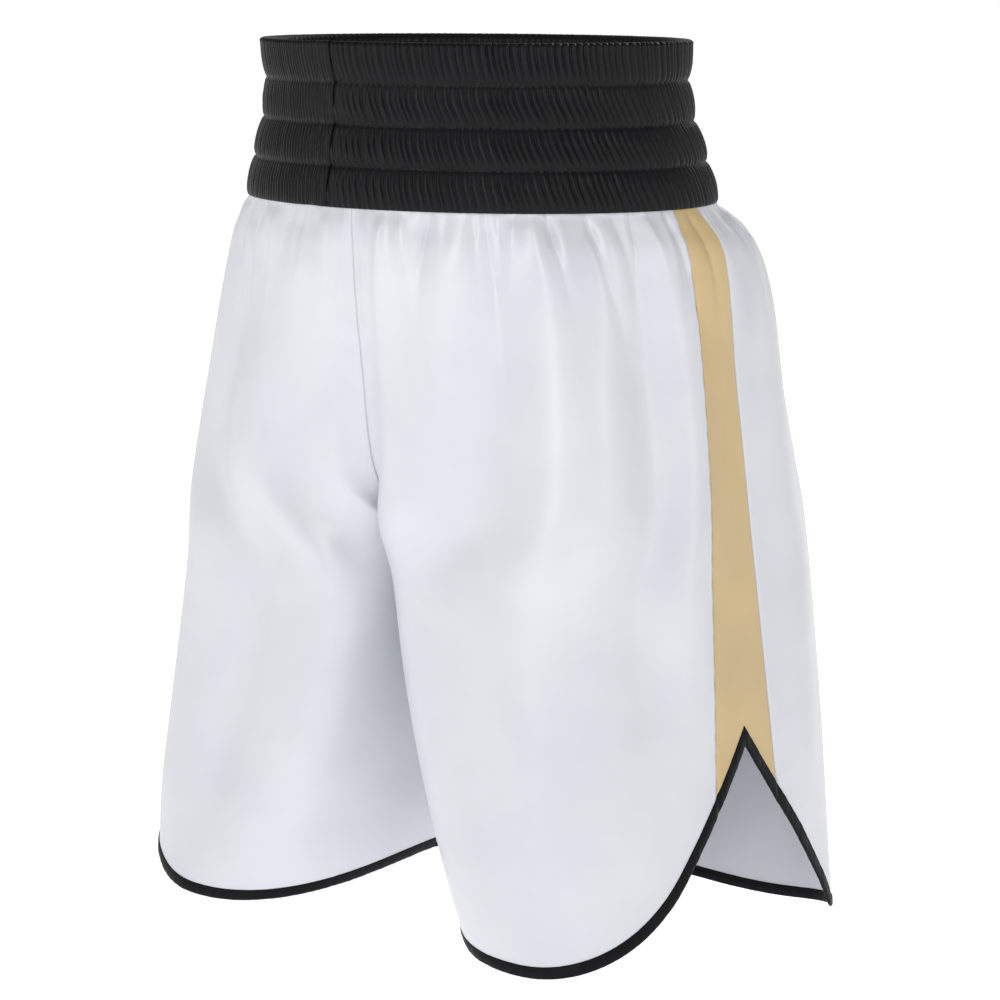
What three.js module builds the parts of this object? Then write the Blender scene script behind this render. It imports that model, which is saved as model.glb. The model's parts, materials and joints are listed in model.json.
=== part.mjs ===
// Boxing shorts: a four-row elastic waistband, satin panels, side stripes, and side vents with bound edges.
// Millimetres, +Z up. The origin is the centre of the waist opening, level with the waistband's top rim.
// -Y is the wearer's front and +X the wearer's left. "down" is the distance below the rim.
// The cloth is stated at its worn, filled-out shape. Each leg swings about an X axis just below the crotch.
import * as THREE from "three";

// ---------- Driving dimensions ----------

const BAND_HEIGHT = 94;
const CROTCH_DROP = 290;
const LENGTH = 524;
const HIP_DROP = 190;
const PUFF_DROP = 30; // below the band's foot, where the gathered cloth has puffed out

const WAIST_HALF_WIDTH = 137;
const WAIST_DEPTH_SHARE = 0.775; // depth of the waist opening as a share of its width
const BAND_FOOT_HALF_WIDTH = 152;
const BAND_LEAN = 6; // how far the band's foot stands back from its rim
const BAND_PINCH = 3; // how far the upper rows draw the band in
const PINCH_SHARE = 0.7; // the share of the band's height that is drawn in

const CLOTH = 1.0;
const BINDING_WIDTH = 6;
const BINDING_THICKNESS = 2.4;

const ELASTIC_ROWS = 4;
const ELASTIC_WIDTH = 20;
const ELASTIC_THICKNESS = 1.5;
const CASING_WALL = 1.2;
const CASING_CLEARANCE = 0.4;
const ROW_BULGE = 1.6;

const STRIPE_TOP_WIDTH = 23;
const STRIPE_VENT_WIDTH = 57;

const VENT_TOP = 404;
const VENT_FRONT_SLANT = THREE.MathUtils.degToRad(41);
const VENT_BACK_SLANT = THREE.MathUtils.degToRad(37);
const FRONT_CORNER_RADIUS = 150;
const BACK_CORNER_RADIUS = 8;
const INSEAM_LIFT = 16;
const BACK_HEM_DIP = 14; // how far the back hem dips between the vent and the inseam
const HEM_GAP = 44;

const SWING_BELOW_CROTCH = 12;
const SWING_FORWARD = THREE.MathUtils.degToRad(15);
const SWING_BACK = THREE.MathUtils.degToRad(10);
const SWING_MARGIN = THREE.MathUtils.degToRad(0.5);

const LABEL_WIDTH = 36;
const LABEL_HEIGHT = 48;
const LABEL_THICKNESS = 0.6;
const LABEL_DROP = 28;

const SEAM_GAP = 0.3;
const BINDING_GAP = 0.5; // room between a binding's inner edge and the cloth it wraps

const AROUND = 40; // facets round the waistband
const EDGE_STEPS = 7; // points on each stretch of a leg's lower edge
const OUTLINE_STEPS = 96; // samples round half of the body in one level outline

// The body of the cloth at named levels. Each leg is a tube whose level outline is a squared ellipse.
// side: distance from the centre plane to the side seam. front, back: the outline's depth from that seam.
// shift: how far back the side seam lies. squareness is 2 for an ellipse: inner front, outer front, back.
const PUFF_LEVEL = BAND_HEIGHT + PUFF_DROP;
const LEVELS = [
  bandLevel(0, WAIST_HALF_WIDTH, 0),
  bandLevel(BAND_HEIGHT, BAND_FOOT_HALF_WIDTH, BAND_LEAN),
  { down: PUFF_LEVEL, side: 162, front: 119.5, back: 147, shift: 9, squareness: [2.1, 2.05, 2.2] },
  { down: HIP_DROP, side: 170, front: 118, back: 143, shift: 12, squareness: [2.5, 2.2, 2.7] },
  { down: CROTCH_DROP, side: 181, front: 116, back: 139, shift: 12, squareness: [5.5, 2.3, 3] },
  { down: LENGTH, side: 204, front: 128, back: 113, shift: 12, squareness: [2.5, 2.4, 5] },
];

function bandLevel(down, halfWidth, shift) {
  const depth = halfWidth * WAIST_DEPTH_SHARE;
  return { down, side: halfWidth, front: depth, back: depth, shift, squareness: [2, 2, 2] };
}

// ---------- Colours and finishes ----------

const blackSatin = finish(0x17181a, 0.45);
const whiteSatin = finish(0xe9ebf0, 0.38);
const goldSatin = finish(0xd9bd8a, 0.4);
const blackTape = finish(0x121213, 0.6);
const elastic = finish(0xdcdcd8, 0.9);
const labelCloth = finish(0xf2f2ef, 0.8);

function finish(color, roughness) {
  return new THREE.MeshStandardMaterial({ color, roughness, metalness: 0 });
}

// ---------- The surface of the cloth ----------

// One size of LEVELS at any distance down, on a smooth curve through the levels. pick takes it from a level.
function sizeAt(down, pick) {
  const last = LEVELS.length - 1;
  let at = 0;
  while (at < last - 1 && down > LEVELS[at + 1].down) at++;
  const from = LEVELS[at];
  const to = LEVELS[at + 1];
  const span = to.down - from.down;
  const slope = (a, b) => (pick(b) - pick(a)) / (b.down - a.down);
  const slopeIn = slope(LEVELS[Math.max(at - 1, 0)], to) * span;
  const slopeOut = slope(from, LEVELS[Math.min(at + 2, last)]) * span;
  const t = (down - from.down) / span;
  const hold = 2 * t ** 3 - 3 * t ** 2 + 1;
  const bend = (t ** 3 - 2 * t ** 2 + t) * slopeIn + (t ** 3 - t ** 2) * slopeOut;
  return hold * pick(from) + (1 - hold) * pick(to) + bend;
}

// How far the two leg tubes have parted: 0 at the waistband's foot, 1 from the crotch down.
function splitAt(down) {
  const t = THREE.MathUtils.clamp((down - BAND_HEIGHT) / (CROTCH_DROP - BAND_HEIGHT), 0, 1);
  return THREE.MathUtils.smoothstep(t ** 1.3, 0, 1);
}

// Half the space between the legs, counted on both sides.
function legGap(down) {
  return HEM_GAP * (Math.max(down - CROTCH_DROP, 0) / (LENGTH - CROTCH_DROP)) ** 1.5;
}

// The left half's level outline, from the front seam round to the back seam, with lengths from the side.
const outlines = new Map();

function outlineAt(down) {
  const known = outlines.get(down);
  if (known) return known;
  const side = sizeAt(down, (level) => level.side);
  const shift = sizeAt(down, (level) => level.shift);
  const [innerFront, outerFront, back] = [0, 1, 2].map((i) => sizeAt(down, (level) => level.squareness[i]));
  const split = splitAt(down);
  const centre = split < 1 ? (side * split) / (1 + split) : (side + legGap(down)) / 2;
  const halfWidth = side - centre;
  const points = [];
  for (let i = 0; i <= OUTLINE_STEPS; i++) {
    const share = (2 * i) / OUTLINE_STEPS - 1;
    const isFront = share < 0;
    const depth = sizeAt(down, (level) => (isFront ? level.front : level.back));
    const seamPower = isFront ? innerFront : back;
    const seamDepth = split < 1 ? depth * (1 - (centre / halfWidth) ** seamPower) ** (1 / seamPower) : 0;
    const angle = share * Math.atan2(seamDepth, -centre);
    const isInner = Math.abs(angle) > Math.PI / 2;
    const power = isFront && !isInner ? outerFront : seamPower;
    const across = Math.abs(Math.cos(angle) / halfWidth) ** power;
    const deep = Math.abs(Math.sin(angle) / depth) ** power;
    const reach = (across + deep) ** (-1 / power);
    points.push(new THREE.Vector2(centre + reach * Math.cos(angle), shift + reach * Math.sin(angle)));
  }
  const lengths = [0];
  for (let i = 1; i <= OUTLINE_STEPS; i++) {
    lengths.push(lengths[i - 1] + points[i].distanceTo(points[i - 1]));
  }
  const sideLength = lengths[OUTLINE_STEPS / 2];
  const outline = { points, lengths: lengths.map((length) => length - sideLength) };
  outlines.set(down, outline);
  return outline;
}

function frontSeam(down) {
  return outlineAt(down).lengths[0] + SEAM_GAP / 2;
}

function backSeam(down) {
  return outlineAt(down).lengths[OUTLINE_STEPS] - SEAM_GAP / 2;
}

// The point of the left half at a distance along the outline (front negative), a depth into the cloth.
function clothPoint(along, down, depth) {
  const { points, lengths } = outlineAt(down);
  let i = lengths.findIndex((length) => length > along);
  if (i < 1) i = i === 0 ? 1 : OUTLINE_STEPS;
  const share = (along - lengths[i - 1]) / (lengths[i] - lengths[i - 1]);
  const spot = points[i - 1].clone().lerp(points[i], share);
  const before = points[Math.max(i - 2, 0)];
  const after = points[Math.min(i + 1, OUTLINE_STEPS)];
  const inward = new THREE.Vector2(before.y - after.y, after.x - before.x).normalize();
  return new THREE.Vector3(SEAM_GAP / 2 + spot.x + inward.x * depth, spot.y + inward.y * depth, -down);
}

// ---------- Edges of the pieces, as distances along the outline and down ----------

function stripeHalfWidth(down) {
  const share = (down - BAND_HEIGHT) / (VENT_TOP - BAND_HEIGHT);
  return THREE.MathUtils.lerp(STRIPE_TOP_WIDTH, STRIPE_VENT_WIDTH, share) / 2;
}

// How far from the side a vent's slanted edge would meet the level of the hem.
function cornerReach(slant) {
  return (LENGTH - VENT_TOP) * Math.tan(slant);
}

// How far the round corner runs past that meeting point.
function cornerTangent(slant, radius) {
  return radius * Math.tan(Math.PI / 4 - slant / 2);
}

// One leg's lower edge in the flat, from the vent's top to the inseam: a slanted side, a round corner, a hem
// that rises to the inseam. The line lies inside the finished edge by inset.
function lowerEdge(slant, radius, dip, seamLength, inset) {
  const arcCentre = new THREE.Vector2(cornerReach(slant) + cornerTangent(slant, radius), LENGTH - radius);
  const onArc = (angle) => {
    const outward = new THREE.Vector2(-Math.cos(angle), Math.sin(angle));
    return arcCentre.clone().addScaledVector(outward, radius - inset);
  };
  const narrowSlant = Math.min(VENT_FRONT_SLANT, VENT_BACK_SLANT);
  const start = new THREE.Vector2(0, VENT_TOP - inset / Math.sin(narrowSlant));
  const points = [];
  for (let i = 0; i < EDGE_STEPS; i++) points.push(start.clone().lerp(onArc(slant), i / EDGE_STEPS));
  for (let i = 0; i <= EDGE_STEPS; i++) {
    points.push(onArc(THREE.MathUtils.lerp(slant, Math.PI / 2, i / EDGE_STEPS)));
  }
  const hemLength = seamLength - arcCentre.x;
  for (let i = 1; i <= EDGE_STEPS; i++) {
    const share = i / EDGE_STEPS;
    const lift = INSEAM_LIFT * THREE.MathUtils.smoothstep(share, 0, 1) - dip * Math.sin(Math.PI * share);
    points.push(new THREE.Vector2(arcCentre.x + hemLength * share, LENGTH - inset - lift));
  }
  return points;
}

function ventSlant(isFront) {
  return isFront ? VENT_FRONT_SLANT : VENT_BACK_SLANT;
}

function cornerRadius(isFront) {
  return isFront ? FRONT_CORNER_RADIUS : BACK_CORNER_RADIUS;
}

function legEdge(isFront, inset) {
  const seamDown = LENGTH - INSEAM_LIFT;
  const seamLength = isFront ? -frontSeam(seamDown) : backSeam(seamDown);
  const dip = isFront ? 0 : BACK_HEM_DIP;
  return lowerEdge(ventSlant(isFront), cornerRadius(isFront), dip, seamLength, inset);
}

// The depth of an edge at a distance from the side.
function edgeDown(edge, away) {
  const i = edge.findIndex((point) => point.x >= away);
  if (i === 0) return edge[0].y;
  if (i < 0) return edge[edge.length - 1].y;
  const share = (away - edge[i - 1].x) / (edge[i].x - edge[i - 1].x);
  return THREE.MathUtils.lerp(edge[i - 1].y, edge[i].y, share);
}

const SWING_DROP = CROTCH_DROP + SWING_BELOW_CROTCH;
const clothInset = BINDING_WIDTH + BINDING_GAP;
const clothEdges = { front: legEdge(true, clothInset), back: legEdge(false, clothInset) };

// The top edge of a leg falls away from the swing axis to the front and the back, to give the swing room.
function legTop(y) {
  const swing = (y < 0 ? SWING_FORWARD : SWING_BACK) + SWING_MARGIN;
  return SWING_DROP + SEAM_GAP + Math.abs(y) * Math.tan(swing);
}

// ---------- Solids ----------

// A closed sheet of cloth over a grid. place(u, v) gives the distance along the outline and down.
function sheetGeometry(columns, rows, thickness, place, isLeft) {
  const positions = [];
  const sideFactor = isLeft ? 1 : -1;
  const layers = [(CLOTH - thickness) / 2, (CLOTH + thickness) / 2];
  for (const depth of layers) {
    for (let j = 0; j <= rows; j++) {
      for (let i = 0; i <= columns; i++) {
        const { along, down } = place(i / columns, j / rows);
        const point = clothPoint(along, down, depth);
        positions.push(point.x * sideFactor, point.y, point.z);
      }
    }
  }
  const layerSize = (columns + 1) * (rows + 1);
  const at = (layer, i, j) => layer * layerSize + j * (columns + 1) + i;
  const faces = [];
  const addQuad = (a, b, c, d) => faces.push(a, b, c, a, c, d);
  for (let j = 0; j < rows; j++) {
    for (let i = 0; i < columns; i++) {
      addQuad(at(0, i, j), at(0, i, j + 1), at(0, i + 1, j + 1), at(0, i + 1, j));
      addQuad(at(1, i, j), at(1, i + 1, j), at(1, i + 1, j + 1), at(1, i, j + 1));
    }
    addQuad(at(0, 0, j), at(1, 0, j), at(1, 0, j + 1), at(0, 0, j + 1));
    addQuad(at(0, columns, j), at(0, columns, j + 1), at(1, columns, j + 1), at(1, columns, j));
  }
  for (let i = 0; i < columns; i++) {
    addQuad(at(0, i, 0), at(0, i + 1, 0), at(1, i + 1, 0), at(1, i, 0));
    addQuad(at(0, i, rows), at(1, i, rows), at(1, i + 1, rows), at(0, i + 1, rows));
  }
  if (!isLeft) faces.reverse();
  const geometry = new THREE.BufferGeometry();
  geometry.setAttribute("position", new THREE.Float32BufferAttribute(positions, 3));
  geometry.setIndex(faces);
  return geometry;
}

// A ring round the waist from a closed profile of [distance from the axis, height].
function waistRing(profile) {
  const closed = [...profile, profile[0]].map(([r, z]) => new THREE.Vector2(r, z));
  const geometry = new THREE.LatheGeometry(closed, AROUND);
  geometry.rotateX(Math.PI / 2);
  geometry.scale(1, WAIST_DEPTH_SHARE, 1);
  const lean = new THREE.Matrix4().makeShear(0, 0, 0, 0, 0, -BAND_LEAN / BAND_HEIGHT);
  return geometry.applyMatrix4(lean);
}

// The band draws in below the rim and flares to its foot.
function bandHalfWidth(down) {
  const share = down / BAND_HEIGHT;
  const flare = (BAND_FOOT_HALF_WIDTH - WAIST_HALF_WIDTH) * share ** 2;
  return WAIST_HALF_WIDTH + flare - BAND_PINCH * Math.sin(Math.PI * Math.min(share / PINCH_SHARE, 1));
}

// ---------- Waistband ----------

const rowPitch = BAND_HEIGHT / ELASTIC_ROWS;
const channelWidth = ELASTIC_THICKNESS + 2 * CASING_CLEARANCE;
const casingThickness = 2 * CASING_WALL + channelWidth;

// Points on a wall of the band at a depth inside the casing's outer face, straight from row to row.
function bandWall(depth, downs) {
  return downs.map((down) => {
    const row = THREE.MathUtils.clamp(Math.floor(down / rowPitch), 0, ELASTIC_ROWS - 1);
    const [above, below] = [bandHalfWidth(row * rowPitch), bandHalfWidth((row + 1) * rowPitch)];
    return [THREE.MathUtils.lerp(above, below, down / rowPitch - row) - depth, -down];
  });
}

// Evenly spaced distances from the rim to the band's foot.
function bandSteps(count) {
  return Array.from({ length: count + 1 }, (_, i) => (BAND_HEIGHT * i) / count);
}

// The satin casing is one strip folded over the rim, so its section is a channel that opens downwards.
function waistbandCasing() {
  const stepsPerRow = 3;
  const outer = bandWall(0, bandSteps(ELASTIC_ROWS * stepsPerRow));
  outer.forEach((point, i) => {
    point[0] += ROW_BULGE * Math.sin((Math.PI * (i % stepsPerRow)) / stepsPerRow);
  });
  const channelDowns = [CASING_WALL, ...bandSteps(ELASTIC_ROWS).slice(1)];
  const lining = bandWall(casingThickness, bandSteps(ELASTIC_ROWS));
  const channelInner = bandWall(casingThickness - CASING_WALL, channelDowns);
  const channelOuter = bandWall(CASING_WALL, channelDowns);
  return waistRing([...outer.reverse(), ...lining, ...channelInner.reverse(), ...channelOuter]);
}

function elasticRow(row) {
  const middle = (row + 0.5) * rowPitch;
  const width = Math.min(ELASTIC_WIDTH, rowPitch - 2 * (CASING_WALL + CASING_CLEARANCE));
  const outer = CASING_WALL + CASING_CLEARANCE;
  const top = middle - width / 2;
  const foot = middle + width / 2;
  return waistRing([...bandWall(outer, [foot, top]), ...bandWall(outer + ELASTIC_THICKNESS, [top, foot])]);
}

// ---------- Panels, stripes and bindings of one side ----------

// Rows of the seat panels crowd towards the crotch, where the seam turns under.
function seatDown(v, rows) {
  const top = BAND_HEIGHT + SEAM_GAP;
  const bendRows = rows - 1;
  const bend = Math.sin((Math.PI / 2) * Math.min((v * rows) / bendRows, 1));
  return v === 1 ? SWING_DROP : THREE.MathUtils.lerp(top, CROTCH_DROP, bend);
}

function seatPanel(isFront, isLeft) {
  const rows = 9;
  const place = (u, v) => {
    const down = seatDown(v, rows);
    const edge = stripeHalfWidth(down) + SEAM_GAP / 2;
    const [from, to] = isFront ? [frontSeam(down), -edge] : [edge, backSeam(down)];
    return { along: THREE.MathUtils.lerp(from, to, u), down };
  };
  return sheetGeometry(8, rows, CLOTH, place, isLeft);
}

function seatStripe(isLeft) {
  const rows = 6;
  const place = (u, v) => {
    const down = THREE.MathUtils.lerp(BAND_HEIGHT + SEAM_GAP, SWING_DROP, v);
    const edge = stripeHalfWidth(down) - SEAM_GAP / 2;
    return { along: edge * (2 * u - 1), down };
  };
  return sheetGeometry(2, rows, CLOTH, place, isLeft);
}

// A column of a leg piece runs from the leg's top edge to its lower edge. Both depend on the column's place.
function legPlace(alongAt) {
  return (u, v) => {
    let top = SWING_DROP;
    let foot = LENGTH - clothInset;
    for (let pass = 0; pass < 12; pass++) {
      top = legTop(clothPoint(alongAt(u, top), top, 0).y);
      const along = alongAt(u, foot);
      foot = edgeDown(along < 0 ? clothEdges.front : clothEdges.back, Math.abs(along));
    }
    const down = THREE.MathUtils.lerp(top, foot, v);
    return { along: alongAt(u, down), down };
  };
}

// A leg panel's columns are shared out over the vent's slanted edge, the round corner and the hem.
const FRONT_COLUMNS = [4, 6, EDGE_STEPS];
const BACK_COLUMNS = [5, 1, EDGE_STEPS];

function legPanel(isFront, isLeft) {
  const shares = isFront ? FRONT_COLUMNS : BACK_COLUMNS;
  const columns = shares[0] + shares[1] + shares[2];
  const corner = cornerReach(ventSlant(isFront));
  const cornerEnd = corner + cornerTangent(ventSlant(isFront), cornerRadius(isFront));
  const alongAt = (u, down) => {
    const seam = isFront ? -frontSeam(down) : backSeam(down);
    const stops = [stripeHalfWidth(down) + SEAM_GAP / 2, corner, cornerEnd, seam];
    let column = (isFront ? 1 - u : u) * columns;
    let stretch = 0;
    while (stretch < 2 && column > shares[stretch] + 1e-6) column -= shares[stretch++];
    const away = THREE.MathUtils.lerp(stops[stretch], stops[stretch + 1], column / shares[stretch]);
    return isFront ? -away : away;
  };
  return sheetGeometry(columns, 7, CLOTH, legPlace(alongAt), isLeft);
}

function legStripe(isLeft) {
  const alongAt = (u, down) => (stripeHalfWidth(down) - SEAM_GAP / 2) * (2 * u - 1);
  return sheetGeometry(4, 5, CLOTH, legPlace(alongAt), isLeft);
}

// The tape that wraps the lower edge, from the vent's top to the inseam.
function edgeBinding(isFront, isLeft) {
  const outer = legEdge(isFront, 0);
  const inner = legEdge(isFront, BINDING_WIDTH);
  const steps = outer.length - 1;
  const direction = isFront ? -1 : 1;
  const place = (u, v) => {
    const i = Math.round(u * steps);
    const spot = outer[i].clone().lerp(inner[i], 1 - v);
    return { along: direction * Math.max(spot.x, SEAM_GAP / 2), down: spot.y };
  };
  const ordered = isFront ? (u, v) => place(1 - u, v) : place;
  return sheetGeometry(steps, 1, BINDING_THICKNESS, ordered, isLeft);
}

// ---------- Back label ----------

function backLabel() {
  const geometry = new THREE.BoxGeometry(LABEL_WIDTH, LABEL_THICKNESS, LABEL_HEIGHT);
  const mesh = part("back_label", geometry, labelCloth);
  const down = LABEL_DROP + LABEL_HEIGHT / 2;
  const lean = (BAND_LEAN * LABEL_DROP) / BAND_HEIGHT;
  const liningY = (bandHalfWidth(LABEL_DROP) - casingThickness) * WAIST_DEPTH_SHARE;
  const cornerSink = liningY * (1 - Math.sqrt(1 - (LABEL_WIDTH / 2 / bandHalfWidth(LABEL_DROP)) ** 2));
  mesh.position.set(0, liningY + lean - cornerSink - LABEL_THICKNESS / 2 - 3 * SEAM_GAP, -down);
  return mesh;
}

// ---------- Assembly ----------

function part(name, geometry, material) {
  const mesh = new THREE.Mesh(geometry, material);
  mesh.name = name;
  return mesh;
}

const trunk = new THREE.Group();
trunk.add(part("waistband_casing", waistbandCasing(), blackSatin));
for (let row = 0; row < ELASTIC_ROWS; row++) {
  trunk.add(part(`elastic_row_${row + 1}`, elasticRow(row), elastic));
}
trunk.add(backLabel());

const shorts = new THREE.Group();
shorts.add(trunk);

for (const side of ["left", "right"]) {
  const isLeft = side === "left";
  trunk.add(part(`${side}_front_seat_panel`, seatPanel(true, isLeft), whiteSatin));
  trunk.add(part(`${side}_back_seat_panel`, seatPanel(false, isLeft), whiteSatin));
  trunk.add(part(`${side}_seat_stripe`, seatStripe(isLeft), goldSatin));
  const leg = new THREE.Group();
  leg.add(part(`${side}_front_leg_panel`, legPanel(true, isLeft), whiteSatin));
  leg.add(part(`${side}_back_leg_panel`, legPanel(false, isLeft), whiteSatin));
  leg.add(part(`${side}_leg_stripe`, legStripe(isLeft), goldSatin));
  leg.add(part(`${side}_front_binding`, edgeBinding(true, isLeft), blackTape));
  leg.add(part(`${side}_back_binding`, edgeBinding(false, isLeft), blackTape));
  shorts.add(leg);
}

export default shorts;
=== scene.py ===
"""Boxing shorts in satin: shirred waistband, gathered panels, side stripes and bound vents.

The origin is the centre of the waist opening, level with the rim. -Y is the wearer's front and
+X the wearer's left. The cloth is worked out in millimetres, from a distance along a level line
of the body ("along") and a distance below the rim ("down"), and each piece is made in metres.
"""

import itertools
import json
import math

import bpy
import numpy as np
from bpy.props import FloatProperty, FloatVectorProperty, IntProperty, PointerProperty
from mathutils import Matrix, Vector


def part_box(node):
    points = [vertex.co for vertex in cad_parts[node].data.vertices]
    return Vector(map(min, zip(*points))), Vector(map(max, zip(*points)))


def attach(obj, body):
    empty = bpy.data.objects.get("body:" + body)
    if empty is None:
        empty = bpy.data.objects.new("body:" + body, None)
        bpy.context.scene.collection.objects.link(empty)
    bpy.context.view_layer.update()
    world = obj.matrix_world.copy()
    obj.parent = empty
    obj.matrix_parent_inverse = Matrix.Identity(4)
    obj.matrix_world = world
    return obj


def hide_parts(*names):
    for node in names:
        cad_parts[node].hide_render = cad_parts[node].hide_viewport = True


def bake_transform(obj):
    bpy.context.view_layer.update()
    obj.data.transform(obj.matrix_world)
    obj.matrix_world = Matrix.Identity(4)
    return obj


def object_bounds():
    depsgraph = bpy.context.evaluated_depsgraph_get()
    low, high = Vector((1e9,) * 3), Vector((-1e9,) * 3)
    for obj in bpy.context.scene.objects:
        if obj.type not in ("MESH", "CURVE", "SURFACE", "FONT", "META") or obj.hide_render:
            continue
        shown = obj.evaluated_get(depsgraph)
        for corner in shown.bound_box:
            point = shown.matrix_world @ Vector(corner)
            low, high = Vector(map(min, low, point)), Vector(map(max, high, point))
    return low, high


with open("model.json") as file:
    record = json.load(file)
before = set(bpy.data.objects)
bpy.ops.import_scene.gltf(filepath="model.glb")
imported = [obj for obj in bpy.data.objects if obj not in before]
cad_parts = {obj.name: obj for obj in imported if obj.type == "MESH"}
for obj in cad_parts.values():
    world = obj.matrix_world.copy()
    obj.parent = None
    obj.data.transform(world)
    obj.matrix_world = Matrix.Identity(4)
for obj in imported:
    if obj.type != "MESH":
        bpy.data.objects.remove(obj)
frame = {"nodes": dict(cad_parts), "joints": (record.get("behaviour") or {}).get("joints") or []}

bl_info = {
    "name": "Boxing Shorts",
    "version": (1, 0, 0),
    "blender": (4, 5, 0),
    "location": "View3D > Sidebar > Shorts",
    "description": "Makes a pair of satin boxing shorts piece by piece",
    "category": "Object",
}

CAD_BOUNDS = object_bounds()
MM = 0.001
SIDES = ("left", "right")


# ---------- Sizes taken from the frame, in millimetres ----------

def lowest(node):
    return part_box(node)[0] / MM


def highest(node):
    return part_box(node)[1] / MM


BAND_HEIGHT = round(-lowest("waistband_casing").z)
LENGTH = round(-lowest("left_front_binding").z)
FRAME_BINDING_WIDTH = 6
VENT_SLANTS = (math.radians(41), math.radians(37))  # of the front and back edges from upright
BINDING_TOP = -highest("left_front_binding").z
VENT_TOP = round(BINDING_TOP + FRAME_BINDING_WIDTH / math.sin(min(VENT_SLANTS)))
ROWS = sum(name.startswith("elastic_row") for name in frame["nodes"])
HINGE_DOWN = -frame["joints"][0]["pos_m"][2] / MM
HINGE_BELOW_CROTCH = 12
CROTCH_DROP = HINGE_DOWN - HINGE_BELOW_CROTCH


# ---------- Sizes and colours that a user may change ----------

class ShortsSizes(bpy.types.PropertyGroup):
    """Sizes of the cloth and its gathers."""

    cloth: FloatProperty(
        name="Cloth thickness", description="Thickness of the satin",
        default=0.0006, unit="LENGTH", precision=4,
    )
    pucker_height: FloatProperty(
        name="Gather height", description="How far the small gathers below the band stand out",
        default=0.0044, unit="LENGTH", precision=4,
    )
    fold_height: FloatProperty(
        name="Fold height", description="How far the long soft folds stand out",
        default=0.0062, unit="LENGTH", precision=4,
    )
    pleat_pitch: FloatProperty(
        name="Pleat pitch", description="Distance between the pleats of the band",
        default=0.0042, unit="LENGTH", precision=4,
    )
    pleat_height: FloatProperty(
        name="Pleat height", description="Height of the band's pleats",
        default=0.0028, unit="LENGTH", precision=4,
    )
    binding_width: FloatProperty(
        name="Binding width", description="Finished width of the binding on the lower edge",
        default=0.007, unit="LENGTH", precision=4,
    )
    seed: IntProperty(name="Seed", description="Where the gathers fall", default=11, min=0)


class ShortsColours(bpy.types.PropertyGroup):
    """Colours of the cloths."""

    panel: FloatVectorProperty(
        name="Panels", description="Satin of the panels",
        subtype="COLOR", default=(0.66, 0.675, 0.715),
    )
    stripe: FloatVectorProperty(
        name="Stripes", description="Satin of the side stripes",
        subtype="COLOR", default=(0.60, 0.445, 0.23),
    )
    band: FloatVectorProperty(
        name="Waistband", description="Satin of the waistband",
        subtype="COLOR", default=(0.006, 0.006, 0.007),
    )
    binding: FloatVectorProperty(
        name="Binding", description="Tape on the lower edge",
        subtype="COLOR", default=(0.004, 0.004, 0.005),
    )


# ---------- The body of the cloth ----------

FRONT, BACK = 0, 1
HALVES = ((FRONT, "front"), (BACK, "back"))
HIP_DROP = 190
PUFF_DROP = 30  # from the band's foot to where the gathered cloth has puffed out

# The outline of the body at named levels.
# side: distance from the centre plane to the side seam. front, back: depth from the side seam.
# squareness: 2 for an ellipse. shift: how far back the side seam lies.
LEVELS = {
    "down": (0, BAND_HEIGHT, BAND_HEIGHT + PUFF_DROP, HIP_DROP, CROTCH_DROP, LENGTH),
    "side": (137, 152, 162, 170, 181, 204),
    "front": (106.2, 117.8, 119.5, 118, 116, 128),
    "back": (106.2, 117.8, 147, 143, 139, 113),
    "front_squareness": (2, 2, 2.05, 2.2, 2.3, 2.4),
    "front_inner_squareness": (2, 2, 2.1, 2.5, 5.5, 2.5),
    "back_squareness": (2, 2, 2.2, 2.7, 3, 5),
    "back_inner_squareness": (2, 2, 2.2, 2.7, 3, 5),
    "shift": (0, 6, 9, 12, 12, 12),
}
STRIPE_WIDTHS = (23, 57)  # at the band and at the vent
HEM_GAP = 44  # from the centre plane to each leg's inner side at the hem
SPLIT_POWER = 1.3  # above 1 the legs part late
GAP_POWER = 1.5
HEM_DIPS = (0, 14)  # how far the front and back hems dip between the vent and the inseam
TABLE_STEP = 4.0
TABLE_TOP = BAND_HEIGHT - 6.0
SMOOTH_STEPS = 5
EXACT_FROM = 0.86  # the share of the way to the seam past which the table isn't smoothed
OUTLINE_SAMPLES = 481


def size_at(key, down):
    """One size of LEVELS at any distance down, on a smooth curve through the levels."""
    downs = np.array(LEVELS["down"], float)
    values = np.array(LEVELS[key], float)
    last = len(downs) - 1
    at = np.clip(np.searchsorted(downs, down, side="right") - 1, 0, last - 1)
    before = np.maximum(at - 1, 0)
    after = np.minimum(at + 2, last)
    span = downs[at + 1] - downs[at]
    slope_in = (values[at + 1] - values[before]) / (downs[at + 1] - downs[before]) * span
    slope_out = (values[after] - values[at]) / (downs[after] - downs[at]) * span
    t = (down - downs[at]) / span
    hold = 2 * t**3 - 3 * t**2 + 1
    bend = (t**3 - 2 * t**2 + t) * slope_in + (t**3 - t**2) * slope_out
    return hold * values[at] + (1 - hold) * values[at + 1] + bend


def smoothstep(low, high, value):
    t = np.clip((value - low) / (high - low), 0, 1)
    return t * t * (3 - 2 * t)


def leg_tube(down):
    """Centre and half width of the left leg's tube, and how far it has parted from the right."""
    side = size_at("side", down)
    reach = np.clip((down - BAND_HEIGHT) / (CROTCH_DROP - BAND_HEIGHT), 0, 1)
    split = smoothstep(0, 1, reach**SPLIT_POWER)
    below = np.maximum(down - CROTCH_DROP, 0) / (LENGTH - CROTCH_DROP)
    parted = (side + HEM_GAP * below**GAP_POWER) / 2
    centre = np.where(split < 1, side * split / (1 + split), parted)
    return centre, side - centre, split


def by_half(half, key, down):
    """The front's or the back's size at any distance down."""
    return np.where(half == FRONT, size_at(f"front{key}", down), size_at(f"back{key}", down))


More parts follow.
